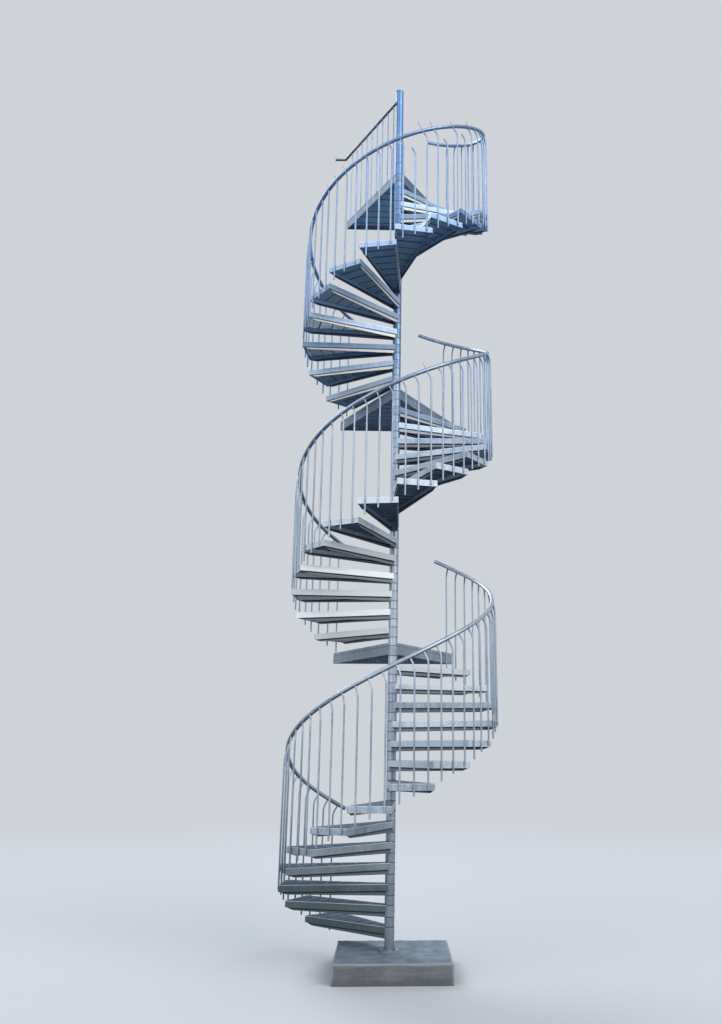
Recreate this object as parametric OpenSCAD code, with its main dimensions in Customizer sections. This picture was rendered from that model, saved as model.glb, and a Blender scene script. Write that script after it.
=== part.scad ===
// Fire escape stair tower: a galvanised steel spiral stair round one column,
// three flights of wedge treads with a wall-side landing over each, on a concrete footing.
// Millimetres, +Z up. The column axis is the origin, the footing's underside is z = 0.
// The stair climbs counter-clockwise seen from above; the wall stands on the +Y side.

/* [Climb] */
// height from one tread to the next
rise = 187; // [170:1:200]
// top of the first tread above the footing
first_rise = 210; // [190:1:240]
// angle that one tread turns
tread_turn = 21.2; // [20.8:0.1:21.6]
// angle by which a tread reaches back over the one below
lap = 0.8; // [0.4:0.1:1.2]
// angle by which the second flight is set round from the first
turn_2 = 1.4; // [-2:0.1:2]
// angle by which the third flight is set round from the first
turn_3 = -1.4; // [-2:0.1:2]

/* [Treads] */
// radius from the column axis to a tread's outer corners
tread_radius = 1060; // [950:5:1150]
// depth of the band round a tread
band_h = 60; // [45:1:75]
// thickness of the bands and brackets
plate = 6; // [4:0.5:9]
// depth of a tread's bracket where it meets the column
bracket_h = 103; // [90:1:115]
// depth of a tread's bracket near its outer end
bracket_tip_h = 84; // [78:1:88]
// length over which a bracket's lower corner is cut off at its outer end
bracket_cut = 80; // [50:5:120]
// how far the brackets stand in behind the bands
bracket_in = 16; // [10:1:24]
// distance between the cross bars under the walking surface
bar_pitch = 135; // [110:1:150]
// depth of a cross bar
bar_h = 28; // [22:1:40]
// thickness of a cross bar
bar_t = 6; // [4:0.5:8]

/* [Landings] */
// column axis to the landings' wall-side edge
landing_reach = 1100; // [1040:5:1160]
// depth of the band round a landing
landing_band_h = 88; // [70:1:103]

/* [Column] */
// diameter of the newel tube
newel_d = 89; // [76:1:96]
// wall of the newel tube
newel_wall = 5; // [4:0.5:8]
// wall of the tread hubs
hub_wall = 2.7; // [2.5:0.1:8]
// how far the newel stands above the guard rail's centre
newel_over = 162; // [100:2:250]
// how far the newel's cap stands out round the tube
cap_over = 3; // [1:0.5:8]
// height of the newel's cap, half of it slanted
cap_h = 18; // [10:1:30]
// diameter of the round base flange
flange_d = 176; // [160:2:220]
// thickness of the base flange
flange_t = 14; // [10:1:20]
// height of the collar above the top landing
collar_h = 155; // [120:5:200]

/* [Railing] */
// height of the handrail's centre above the pitch line
rail_h = 1030; // [950:5:1100]
// how much higher the top flight's handrail stands
rail_top_extra = 50; // [0:5:80]
// how far the handrail's centre stands in from the line of the balusters
rail_in = 22; // [14:1:30]
// diameter of the handrail tube
rail_d = 42; // [36:1:48]
// diameter of the balusters
baluster_d = 17; // [14:1:20]
// how far the balusters hang below the pitch line
baluster_drop = 200; // [185:5:215]
// depth below the handrail's centre at which a baluster's top bends
bend_h = 110; // [90:1:130]
// how much shorter the top flight's three short balusters are on the whole
short_by = 120; // [60:5:150]

/* [Guard rail] */
// height of the guard rail's centre above the top landing
guard_h = 1040; // [950:5:1150]
// diameter of the guard rail tube
guard_d = 34; // [30:1:42]
// distance between the guard rail's balusters
guard_pitch = 140; // [110:5:150]
// diameter of the guard rail's balusters
guard_baluster_d = 14; // [10:1:18]
// how far the guard rail runs on past the landing's wall corner
guard_over = 110; // [40:5:150]
// length of the stub that turns the guard rail out to its wall plate
guard_stub = 130; // [100:1:200]
// width of the guard rail's wall plate
guard_plate_w = 46; // [44:2:90]

/* [Footing] */
// width of the concrete footing
footing_w = 1090; // [900:10:1300]
// depth of the concrete footing
footing_d = 1090; // [900:10:1300]
// height of the concrete footing
footing_h = 180; // [150:5:300]
// how far the footing's middle lies to the side of the column
footing_shift = 35; // [-50:5:50]
// width of the footing's chamfered top edge
footing_chamfer = 12; // [6:1:20]

/* [Hidden] */
flights = 3;
steps = 14;
storey = (steps + 1) * rise;
start_turn = 122;
landing_turn = 360 - steps * tread_turn;
clear = 0.3;
flight_turn = [0, turn_2, turn_3];
// the top flight's short balusters, and each one's share of short_by
short_tops = [[22, 1.35], [25, 1.15], [27, 0.65]];
hub_bore = newel_d + 2 * clear;
hub_d = hub_bore + 2 * hub_wall;
hub_r = hub_d / 2;
half_turn = (tread_turn + lap) / 2;
chord = tread_radius * cos(half_turn);
baluster_line = chord + clear + baluster_d / 2;
rail_r = baluster_line - rail_in;
first_top = footing_h + first_rise;
top_landing = first_top + flights * storey - rise;
guard_z = top_landing + guard_h;
newel_top = guard_z + newel_over;
// how far inside the hub's flanks the sides of a tread or landing run
flank = 3;
// depth at which the brackets carry the cross bars
seat_h = 20;
// how far above the bands' underside a bracket's cut corner ends
bracket_lip = 2;
// how far the spacers stand in from the hubs
spacer_in = 0.5;
$fn = 48;

function level(k) = first_top + (k - 1) * rise;
function pitch_z(a) = first_top + rise * (a - start_turn) / tread_turn;
function polar(r, a) = [r * cos(a), r * sin(a)];
function unit(a, b) = (b - a) / norm(b - a);
function left_of(a, b) = [-unit(a, b)[1], unit(a, b)[0]];
function cross2(u, v) = u[0] * v[1] - u[1] * v[0];
function meet(p, u, q, v) = p + u * (cross2(q - p, v) / cross2(u, v));

// outline moved inward by t on every side, for corners given counter-clockwise
function inset(p, t) = [for (i = [0:len(p) - 1])
    let (a = p[(i + len(p) - 1) % len(p)], b = p[i], c = p[(i + 1) % len(p)])
    meet(b + left_of(a, b) * t, unit(a, b), b + left_of(b, c) * t, unit(b, c))];

// plan of a tread: both long sides leave the hub near its flanks, so its inner end is blunt
hub_in = hub_r - flank;
function tread_plan() = [polar(hub_in, -90 - lap), polar(tread_radius, -lap),
    polar(tread_radius, tread_turn), polar(hub_in, tread_turn + 90)];

// plan of a landing: a wide wedge cut off straight along the wall
landing_a = 90 - landing_turn / 2 - lap;
landing_b = 90 + landing_turn / 2;
function landing_plan() = [polar(hub_in, landing_a - 90), polar(landing_reach / sin(landing_a), landing_a),
    polar(landing_reach / sin(landing_b), landing_b), polar(hub_in, landing_b + 90)];

// a bar across a plan at distance x from the axis, running into the bands on both sides
module cross_bar(p, x, t, h, normal) {
    n = polar(1, normal);
    u = [-n[1], n[0]];
    q = inset(p, plate / 2);
    lo = meet(n * (x - t / 2), u, q[0], unit(q[0], q[1]));
    hi = meet(n * (x - t / 2), u, q[3], unit(q[3], q[2]));
    lo2 = meet(n * (x + t / 2), u, q[0], unit(q[0], q[1]));
    hi2 = meet(n * (x + t / 2), u, q[3], unit(q[3], q[2]));
    translate([0, 0, -h]) linear_extrude(height = h) polygon([lo, lo2, hi2, hi]);
}

// a bracket plate standing beside the line from p to q, deep at p, its lower corner at q cut off
module bracket(p, q, deep, shallow, left) {
    translate([p[0], p[1], 0]) rotate([0, 0, atan2(q[1] - p[1], q[0] - p[0])])
        rotate([90, 0, 0]) translate([0, 0, -left]) linear_extrude(height = plate)
            polygon([[0, -deep], [norm(q - p) - bracket_cut, -shallow], [norm(q - p), bracket_lip - band_h],
                [norm(q - p), -seat_h], [0, -seat_h]]);
}

module hub(h) {
    translate([0, 0, -h]) cylinder(d = hub_d, h = h);
}

module hub_hole(h) {
    translate([0, 0, -h - 1]) cylinder(d = hub_bore, h = h + 2);
}

// one tread: bands, two tapering brackets, cross bars and its hub
module tread() {
    p = tread_plan();
    inner = inset(p, plate);
    side = inset(p, bracket_in);
    mid = inset(p, plate / 2);
    difference() {
        union() {
            translate([0, 0, -band_h]) linear_extrude(height = band_h) difference() {
                polygon(p);
                polygon(inner);
            }
            bracket(side[0], meet(side[0], unit(side[0], side[1]), mid[1], unit(mid[1], mid[2])),
                bracket_h, bracket_tip_h, 0);
            bracket(side[3], meet(side[3], unit(side[3], side[2]), mid[1], unit(mid[1], mid[2])),
                bracket_h, bracket_tip_h, plate);
            for (x = [bar_pitch * 1.5:bar_pitch:chord - bar_pitch / 2])
                cross_bar(p, x, bar_t, bar_h, tread_turn / 2 - lap / 2);
            hub(bracket_h);
        }
        hub_hole(bracket_h);
    }
}

// one landing: deep bands, cross bars and its hub
module landing() {
    p = landing_plan();
    inner = inset(p, plate);
    difference() {
        union() {
            translate([0, 0, -landing_band_h]) linear_extrude(height = landing_band_h) difference() {
                polygon(p);
                polygon(inner);
            }
            for (x = [bar_pitch * 1.65:bar_pitch:landing_reach - bar_pitch / 3])
                cross_bar(p, x, bar_t, bar_h, 90);
            hub(bracket_h);
        }
        hub_hole(bracket_h);
    }
}

module flight_treads(f) {
    color([0.62, 0.66, 0.70]) for (i = [0:steps - 1])
        translate([0, 0, level(f * (steps + 1) + i + 1)])
            rotate([0, 0, start_turn + flight_turn[f] + i * tread_turn]) tread();
}

module landing_at(f) {
    color([0.58, 0.62, 0.66]) translate([0, 0, level((f + 1) * (steps + 1))]) landing();
}

// tube between one hub and the next
module spacer(z0, z1) {
    translate([0, 0, z0]) difference() {
        cylinder(d = hub_d - 2 * spacer_in, h = z1 - z0);
        translate([0, 0, -1]) cylinder(d = hub_bore, h = z1 - z0 + 2);
    }
}

module flight_spacers(f) {
    color([0.66, 0.70, 0.74]) {
        for (i = [1:steps + 1])
            if (f > 0 || i > 1)
                spacer(level(f * (steps + 1) + i - 1), level(f * (steps + 1) + i) - bracket_h);
        if (f == flights - 1) spacer(top_landing, top_landing + collar_h);
    }
}

// handrail: a tube swept along the helix, its rings standing at even angles,
// each flight's running its own number of rings past the last tread
tread_rings = 6;
ring_turn = tread_turn / tread_rings;
ring_n = 14;
rail_from = -1;
rail_over = [1, 4, 3];
function rail_z(a, f) = pitch_z(a) + f * storey + rail_h + (f == flights - 1 ? rail_top_extra : 0);
lean = atan2(rise, rail_r * tread_turn * PI / 180);
function ring(i, f) = let (a = start_turn + i * ring_turn, z = rail_z(a, f))
    [for (j = [0:ring_n - 1]) let (b = 360 * j / ring_n, r = rail_d / 2 * cos(b), s = rail_d / 2 * sin(b))
        [(rail_r + r) * cos(a) + s * sin(lean) * sin(a),
         (rail_r + r) * sin(a) - s * sin(lean) * cos(a), z + s * cos(lean)]];

module handrail(f) {
    rail_to = tread_rings * steps + rail_over[f];
    n = rail_to - rail_from;
    pts = [for (i = [rail_from:rail_to]) each ring(i, f)];
    faces = concat(
        [[for (j = [0:ring_n - 1]) j]],
        [[for (j = [ring_n - 1:-1:0]) n * ring_n + j]],
        [for (i = [0:n - 1]) for (j = [0:ring_n - 1])
            [i * ring_n + j, (i + 1) * ring_n + j, (i + 1) * ring_n + (j + 1) % ring_n]],
        [for (i = [0:n - 1]) for (j = [0:ring_n - 1])
            [i * ring_n + j, (i + 1) * ring_n + (j + 1) % ring_n, i * ring_n + (j + 1) % ring_n]]);
    color([0.70, 0.74, 0.78]) rotate([0, 0, flight_turn[f]]) polyhedron(points = pts, faces = faces);
}

// a round bar from p to q
module rod(p, q, d) {
    v = q - p;
    translate(p) rotate([0, acos(v[2] / norm(v)), atan2(v[1], v[0])]) cylinder(d = d, h = norm(v), $fn = 16);
}

// one baluster: clamped to a tread's end band, its top bent in and back to meet the handrail squarely
back_turn = bend_h * sin(lean) * cos(lean) / rail_r * 180 / PI;
module baluster(a, f, short) {
    i = floor((a - start_turn) / tread_turn);
    normal = start_turn + i * tread_turn + tread_turn / 2 - lap / 2;
    r = baluster_line / cos(a - normal);
    foot = pitch_z(a) + f * storey - baluster_drop;
    b = a - back_turn;
    rail = [rail_r * cos(b), rail_r * sin(b), rail_z(b, f)];
    knee = [r * cos(a), r * sin(a), rail_z(a, f) - bend_h];
    v = rail - knee;
    tip = rail - v / norm(v) * (rail_d / 2 + clear);
    drop = [0, 0, short];
    union() {
        translate([knee[0], knee[1], foot])
            cylinder(d = baluster_d, h = knee[2] - foot - short, $fn = 16);
        translate(knee - drop) sphere(d = baluster_d + 1, $fn = 16);
        rod(knee - drop, tip - drop, baluster_d - 1);
    }
}

function short_share(j, f) = f < flights - 1 ? 0 : max([for (s = short_tops) s[0] == j ? s[1] : 0]);
module flight_balusters(f) {
    color([0.68, 0.72, 0.76]) rotate([0, 0, flight_turn[f]]) for (j = [0:3 * steps - 1])
        baluster(start_turn + (j + 0.5) * tread_turn / 3, f, short_by * short_share(j, f));
}

// guard rail along the open side of the top landing, turned out past the wall corner
guard_line = inset(landing_plan(), plate / 2);
guard_a = guard_line[3];
guard_b = guard_line[2];
guard_dir = unit(guard_a, guard_b);
guard_end = guard_b + guard_dir * guard_over;
guard_last = guard_b - guard_dir * guard_d / 2;
guard_count = floor(norm(guard_last - guard_a) / guard_pitch);

module guard_rail() {
    end = [guard_end[0], guard_end[1], guard_z];
    half = guard_plate_w / 2;
    color([0.36, 0.40, 0.45]) difference() {
        union() {
            rod([guard_a[0], guard_a[1], guard_z], end, guard_d);
            translate(end) sphere(d = guard_d + 2, $fn = 24);
            rod(end, end - [guard_stub, 0, 0], guard_d - 1);
            translate(end - [guard_stub + plate, half, half]) cube([plate, guard_plate_w, guard_plate_w]);
        }
        cylinder(d = hub_bore, h = newel_top);
    }
}

module guard_balusters() {
    color([0.66, 0.70, 0.74]) for (i = [1:guard_count])
        translate([each guard_last - guard_dir * (guard_count - i + 0.5) * guard_pitch, top_landing + clear])
            cylinder(d = guard_baluster_d, h = guard_h - guard_d / 2 - 2 * clear, $fn = 16);
}

module footing() {
    w = footing_w;
    d = footing_d;
    c = footing_chamfer;
    color([0.60, 0.58, 0.55]) translate([footing_shift, 0, 0]) union() {
        translate([-w / 2, -d / 2, 0]) cube([w, d, footing_h - c]);
        translate([0, 0, footing_h - c])
            linear_extrude(height = c, scale = (w - 2 * c) / w) square([w, d], center = true);
    }
}

module base_flange() {
    color([0.64, 0.68, 0.72]) translate([0, 0, footing_h]) cylinder(d = flange_d, h = flange_t);
}

module newel() {
    z0 = footing_h + flange_t;
    color([0.60, 0.64, 0.70]) translate([0, 0, z0]) difference() {
        cylinder(d = newel_d, h = newel_top - z0);
        translate([0, 0, -1]) cylinder(d = newel_d - 2 * newel_wall, h = newel_top - z0 + 2);
    }
}

module newel_cap() {
    color([0.40, 0.46, 0.54]) translate([0, 0, newel_top]) {
        cylinder(d = newel_d + 2 * cap_over, h = cap_h / 2);
        translate([0, 0, cap_h / 2])
            cylinder(d1 = newel_d + 2 * cap_over, d2 = newel_d + 2 * cap_over - 1.5 * cap_h, h = cap_h / 2);
    }
}

module treads_1() { flight_treads(0); }
module treads_2() { flight_treads(1); }
module treads_3() { flight_treads(2); }
module landing_1() { landing_at(0); }
module landing_2() { landing_at(1); }
module landing_3() { landing_at(2); }
module spacers_1() { flight_spacers(0); }
module spacers_2() { flight_spacers(1); }
module spacers_3() { flight_spacers(2); }
module handrail_1() { handrail(0); }
module handrail_2() { handrail(1); }
module handrail_3() { handrail(2); }
module balusters_1() { flight_balusters(0); }
module balusters_2() { flight_balusters(1); }
module balusters_3() { flight_balusters(2); }

footing();
base_flange();
newel();
newel_cap();
treads_1();
treads_2();
treads_3();
landing_1();
landing_2();
landing_3();
spacers_1();
spacers_2();
spacers_3();
handrail_1();
handrail_2();
handrail_3();
balusters_1();
balusters_2();
balusters_3();
guard_rail();
guard_balusters();
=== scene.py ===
"""Looks of a spiral fire escape stair: galvanised steel round a column, on a concrete footing."""

import logging
import math
from collections.abc import Callable, Iterator, Sequence
from contextlib import contextmanager
from dataclasses import dataclass
from enum import Enum

import bmesh
import bpy
from mathutils import Matrix, Vector


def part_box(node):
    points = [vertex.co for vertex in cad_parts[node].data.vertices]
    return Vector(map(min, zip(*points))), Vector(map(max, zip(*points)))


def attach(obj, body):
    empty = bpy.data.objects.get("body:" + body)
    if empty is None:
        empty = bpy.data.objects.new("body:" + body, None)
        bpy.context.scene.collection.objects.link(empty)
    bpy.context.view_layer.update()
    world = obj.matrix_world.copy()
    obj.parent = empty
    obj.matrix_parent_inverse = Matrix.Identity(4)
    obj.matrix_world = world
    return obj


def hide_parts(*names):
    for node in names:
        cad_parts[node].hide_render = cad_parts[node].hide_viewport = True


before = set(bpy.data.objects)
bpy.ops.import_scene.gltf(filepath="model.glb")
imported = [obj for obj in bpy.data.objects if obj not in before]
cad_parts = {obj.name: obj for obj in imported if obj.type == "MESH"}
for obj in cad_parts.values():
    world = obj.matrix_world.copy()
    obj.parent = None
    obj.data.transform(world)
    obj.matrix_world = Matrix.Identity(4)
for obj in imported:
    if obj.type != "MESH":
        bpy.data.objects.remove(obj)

LOG = logging.getLogger("stair")
PHOTO_SIZE = (722, 1024)
UP = Vector((0, 0, 1))
Part = bpy.types.Object
Material = bpy.types.Material
Node = bpy.types.Node
Colour = tuple[float, float, float]
Limits = tuple[float, float]


class Slot(Enum):
    """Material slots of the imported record."""

    TREAD = "tread_steel"
    RAIL = "rail_steel"
    COLUMN = "column_steel"
    CONCRETE = "concrete"


@dataclass(frozen=True)
class Layout:
    """Sizes that every part of the stair shares, in metres and degrees."""

    rise: float = 0.187
    turn: float = 21.2
    lap: float = 0.8
    start: float = 122.0
    steps: int = 14
    flights: int = 3
    first_top: float = 0.39
    flight_turn: tuple[float, ...] = (0.0, 1.4, -1.4)
    radius: float = 1.06
    plate: float = 0.006
    band: float = 0.06
    newel: float = 0.0445
    hub: float = 0.0475
    hub_depth: float = 0.103
    flank: float = 0.003
    reach: float = 1.10
    rail_height: float = 1.03
    rail_extra: float = 0.05
    rail_in: float = 0.022
    rail_d: float = 0.042
    baluster_d: float = 0.017
    bend_below: float = 0.11
    clear: float = 0.0003

    @property
    def storey(self) -> float:
        """Height from one landing to the next."""
        return (self.steps + 1) * self.rise

    @property
    def half(self) -> float:
        """Half the angle that a tread takes up, in radians."""
        return math.radians((self.turn + self.lap) / 2)

    @property
    def chord(self) -> float:
        """Distance from the axis to the outer face of a tread's end band."""
        return self.radius * math.cos(self.half)

    @property
    def baluster_line(self) -> float:
        """Distance from the axis to the line on which a tread's balusters stand."""
        return self.chord + self.clear + self.baluster_d / 2

    @property
    def rail_r(self) -> float:
        """Radius of the handrail's helix."""
        return self.baluster_line - self.rail_in

    @property
    def lean(self) -> float:
        """Angle at which the handrail climbs, in radians."""
        return math.atan2(self.rise, self.rail_r * math.radians(self.turn))

    @property
    def bend_back(self) -> float:
        """How far a baluster's bent top turns back along the handrail."""
        return math.degrees(self.bend_below * math.sin(self.lean) * math.cos(self.lean) / self.rail_r)

    def level(self, count: int) -> float:
        """Height of the tread or landing of that count, the lowest being 1."""
        return self.first_top + (count - 1) * self.rise

    def landing_z(self, flight: int) -> float:
        """Height of the landing over a flight."""
        return self.level((flight + 1) * (self.steps + 1))

    def pitch(self, azimuth: float) -> float:
        """Height of the first flight's pitch line at an azimuth."""
        return self.first_top + self.rise * (azimuth - self.start) / self.turn

    def rail_z(self, azimuth: float, flight: int) -> float:
        """Height of a flight's handrail at an azimuth of its own."""
        extra = self.rail_extra if flight == self.flights - 1 else 0.0
        return self.pitch(azimuth) + flight * self.storey + self.rail_height + extra

    def tread_place(self, flight: int, index: int) -> Matrix:
        """Place of a tread that was modelled along +X with its top at nought."""
        azimuth = self.start + self.flight_turn[flight] + (index + 0.5) * self.turn - self.lap / 2
        top = self.level(flight * (self.steps + 1) + index + 1)
        return Matrix.Translation((0, 0, top)) @ turned(azimuth)

    def landing_place(self, flight: int) -> Matrix:
        """Place of a landing that was modelled with its top at nought."""
        return Matrix.Translation((0, 0, self.landing_z(flight)))

    def landing_sides(self) -> list[tuple[int, Vector, Vector]]:
        """A landing's right and left side: -1 or 1, its corner at the wall, and where it leaves the hub."""
        half = (360 - self.steps * self.turn) / 2
        sides = []
        for side, azimuth in ((-1, 90 - half - self.lap), (1, 90 + half)):
            corner = polar(self.reach / math.sin(math.radians(azimuth)), azimuth)
            sides.append((side, corner, polar(self.hub - self.flank, azimuth + side * 90)))
        return sides


PLAN = Layout()


def polar(radius: float, azimuth: float, z: float = 0.0) -> Vector:
    """Point at a radius, an azimuth in degrees and a height."""
    a = math.radians(azimuth)
    return Vector((radius * math.cos(a), radius * math.sin(a), z))


def turned(azimuth: float) -> Matrix:
    """Turn about the column by an angle in degrees."""
    return Matrix.Rotation(math.radians(azimuth), 4, "Z")


def aimed(point: Vector, axis: Vector) -> Matrix:
    """Place at a point with +Z turned to an axis."""
    return Matrix.Translation(point) @ axis.to_track_quat("Z", "Y").to_matrix().to_4x4()


def only(*parts: Part) -> None:
    """Leave just these parts selected, the first one active.

    Args:
        parts: the parts to select.
    """
    bpy.ops.object.select_all(action="DESELECT")
    for part in parts:
        part.select_set(True)
    bpy.context.view_layer.objects.active = parts[0]


def settle(name: str) -> Part:
    """Name the newest primitive and put its place into its mesh.

    Args:
        name: the part's name.

    Returns:
        The part, its object at the origin.
    """
    part = bpy.context.active_object
    part.name = name
    part.data.name = name
    only(part)
    bpy.ops.object.transform_apply(location=True, rotation=True, scale=True)
    return part


def cube(name: str, size: Sequence[float], centre: Sequence[float]) -> Part:
    """Start from a cube primitive of a size, at a centre."""
    bpy.ops.object.select_all(action="DESELECT")
    bpy.ops.mesh.primitive_cube_add(size=1, location=centre, scale=size)
    return settle(name)


def disc(name: str, sides: int, radius: float, centre: Sequence[float],
         tilt: Sequence[float] = (0, 0, 0), filled: bool = True) -> Part:
    """Start from a circle primitive.

    Args:
        name: the part's name.
        sides: number of corners.
        radius: radius of the circle.
        centre: where it lies.
        tilt: Euler angles in radians.
        filled: whether it is a face or an open ring.

    Returns:
        The part.
    """
    bpy.ops.object.select_all(action="DESELECT")
    bpy.ops.mesh.primitive_circle_add(vertices=sides, radius=radius, location=centre, rotation=tilt,
                                      fill_type="NGON" if filled else "NOTHING")
    return settle(name)


@contextmanager
def editing(part: Part) -> Iterator[None]:
    """Edit mode on one part, with all of it selected."""
    only(part)
    bpy.ops.object.mode_set(mode="EDIT")
    bpy.ops.mesh.select_mode(type="FACE")
    bpy.ops.mesh.select_all(action="SELECT")
    yield
    bpy.ops.object.mode_set(mode="OBJECT")


def choose(part: Part, test: Callable[[object], bool], kind: str = "FACE") -> None:
    """Select the elements of a part in edit mode that pass a test.

    Args:
        part: the part in edit mode.
        test: says of each element whether it is selected.
        kind: FACE, EDGE or VERT.
    """
    bpy.ops.mesh.select_mode(type=kind)
    bpy.ops.mesh.select_all(action="DESELECT")
    mesh = bmesh.from_edit_mesh(part.data)
    for item in {"FACE": mesh.faces, "EDGE": mesh.edges, "VERT": mesh.verts}[kind]:
        item.select_set(test(item))
    mesh.select_flush_mode()
    bmesh.update_edit_mesh(part.data)


def push(offset: Sequence[float]) -> None:
    """Extrude what is selected by an offset."""
    bpy.ops.mesh.extrude_region_move(TRANSFORM_OT_translate={"value": tuple(offset)})


def resize(factor: float, centre: Sequence[float]) -> None:
    """Scale what is selected about a centre."""
    bpy.ops.transform.resize(value=(factor,) * 3, center_override=tuple(centre))


def outward(part: Part) -> None:
    """Merge doubles and turn all faces outwards."""
    with editing(part):
        bpy.ops.mesh.remove_doubles(threshold=1e-6)
        bpy.ops.mesh.normals_make_consistent(inside=False)


def cut(part: Part, point: Sequence[float], normal: Sequence[float]) -> None:
    """Cut off what lies beyond a plane and close the part there."""
    with editing(part):
        bpy.ops.mesh.bisect(plane_co=point, plane_no=normal, use_fill=True, clear_inner=False,
                            clear_outer=True)


def modify(part: Part, kind: str, **settings: object) -> None:
    """Add a modifier and apply it.

    Args:
        part: the part.
        kind: the modifier's type.
        settings: its properties.
    """
    only(part)
    modifier = part.modifiers.new(kind.title(), kind)
    for key, value in settings.items():
        setattr(modifier, key, value)
    bpy.ops.object.modifier_apply(modifier=modifier.name)


def smooth(part: Part, degrees: float) -> None:
    """Shade smooth below an angle."""
    only(part)
    bpy.ops.object.shade_smooth_by_angle(angle=math.radians(degrees))


def copies(part: Part, places: Sequence[Matrix]) -> list[Part]:
    """Copy a part to several places, each copy with a mesh of its own.

    Args:
        part: the part that is copied.
        places: one matrix for each copy.

    Returns:
        The copies, their objects at the origin.
    """
    made = []
    for place in places:
        twin = part.copy()
        twin.data = part.data.copy()
        twin.data.transform(place)
        bpy.context.scene.collection.objects.link(twin)
        made.append(twin)
    return made


def drop(*parts: Part) -> None:
    """Delete patterns that are no longer needed."""
    only(*parts)
    bpy.ops.object.delete()


def spend(pattern: Part, places: Sequence[Matrix]) -> list[Part]:
    """Copy a pattern to its places and delete it."""
    made = copies(pattern, places)
    drop(pattern)
    return made


def join(name: str, parts: Sequence[Part]) -> Part:
    """Join parts into one under a name."""
    only(*parts)
    if len(parts) > 1:
        bpy.ops.object.join()
    parts[0].name = name
    parts[0].data.name = name
    return parts[0]


def shader_maths(operation: str, swapped: bool = False) -> Callable[["Reading", object], "Reading"]:
    """Method that makes a Math node.

    Args:
        operation: what the node works out.
        swapped: whether the reading is its second value.

    Returns:
        A method for one reading and one other value.
    """
    if swapped:
        return lambda reading, other: reading.weave.maths(operation, other, reading)
    return lambda reading, other: reading.weave.maths(operation, reading, other)


class Reading:
    """A value in a shader, so that shader maths reads as arithmetic."""

    def __init__(self, weave: "Weave", socket: bpy.types.NodeSocket) -> None:
        """Keep the tree and the socket."""
        self.weave = weave
        self.socket = socket

    __add__ = __radd__ = shader_maths("ADD")
    __sub__ = shader_maths("SUBTRACT")
    __rsub__ = shader_maths("SUBTRACT", swapped=True)
    __mul__ = __rmul__ = shader_maths("MULTIPLY")
    __truediv__ = shader_maths("DIVIDE")
    less = shader_maths("MINIMUM")
    more = shader_maths("MAXIMUM")

    def __abs__(self) -> "Reading":
        """Size without sign."""
        return self.weave.maths("ABSOLUTE", self)

    def ramp(self, low: float, high: float) -> "Reading":
        """Nought below low, one above high, smooth between."""
        node = self.weave.node("ShaderNodeMapRange", {"Value": self, "From Min": low, "From Max": high},
                               interpolation_type="SMOOTHSTEP")
        return self.weave.read(node)

    def fall(self, low: float, high: float) -> "Reading":
        """One below low, nought above high, smooth between."""
        return 1 - self.ramp(low, high)

    def near(self, value: float, core: float, edge: float) -> "Reading":
        """One within core of a value, nought beyond edge of it."""
        return abs(self - value).fall(core, edge)


class Weave:
    """The node tree of a material or of the world."""

    def __init__(self, owner: bpy.types.ID) -> None:
        """Start with the empty tree of a material or world."""
        owner.use_nodes = True
        self.tree = owner.node_tree
        self.tree.nodes.clear()

    def node(self, kind: str, inputs: dict[object, object] | None = None, **settings: object) -> Node:
        """Add a node.

        Args:
            kind: the node's type.
            inputs: numbers, colours or readings for its sockets, by name or place.
            settings: its properties.

        Returns:
            The node.
        """
        node = self.tree.nodes.new(kind)
        for key, value in settings.items():
            setattr(node, key, value)
        for key, value in (inputs or {}).items():
            self.feed(node.inputs[key], value)
        return node

    def feed(self, socket: bpy.types.NodeSocket, value: object) -> None:
        """Link a reading to a socket, or set the socket's own value."""
        if isinstance(value, Reading):
            self.tree.links.new(value.socket, socket)
        else:
            socket.default_value = value

    def read(self, node: Node, output: str | int = 0) -> Reading:
        """One output of a node."""
        return Reading(self, node.outputs[output])

    def maths(self, operation: str, *values: object) -> Reading:
        """One Math node of any kind."""
        return self.read(self.node("ShaderNodeMath", dict(enumerate(values)), operation=operation))

    def vector_maths(self, operation: str, *vectors: Reading) -> Reading:
        """Number that a Vector Math node gives."""
        node = self.node("ShaderNodeVectorMath", dict(enumerate(vectors)), operation=operation)
        return self.read(node, "Value")

    def mix(self, low: object, high: object, share: object) -> Reading:
        """Colour between two."""
        node = self.node("ShaderNodeMix", {0: share, 6: self._colour(low), 7: self._colour(high)},
                         data_type="RGBA")
        return self.read(node, 2)

    def layered(self, tone: Reading, layers: Sequence[tuple[object, Reading]]) -> Reading:
        """Lay colours over a tone one after another, each with its share."""
        for colour, share in layers:
            tone = self.mix(tone, colour, share)
        return tone

    @staticmethod
    def _colour(value: object) -> object:
        """A colour with its alpha, or a reading as it is."""
        return value if isinstance(value, Reading) else (*value, 1.0)

    def shaders(self, low: Node, high: Node, share: Reading) -> Node:
        """Shader between two."""
        return self.node("ShaderNodeMixShader", {0: share, 1: self.read(low), 2: self.read(high)})

    def seen(self) -> Reading:
        """One for what camera, mirror and glass see, nought for the light that is thrown back."""
        path = self.node("ShaderNodeLightPath")
        rays = ("Is Camera Ray", "Is Glossy Ray", "Is Transmission Ray")
        camera, glossy, glass = (self.read(path, ray) for ray in rays)
        return camera.more(glossy).more(glass)


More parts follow.
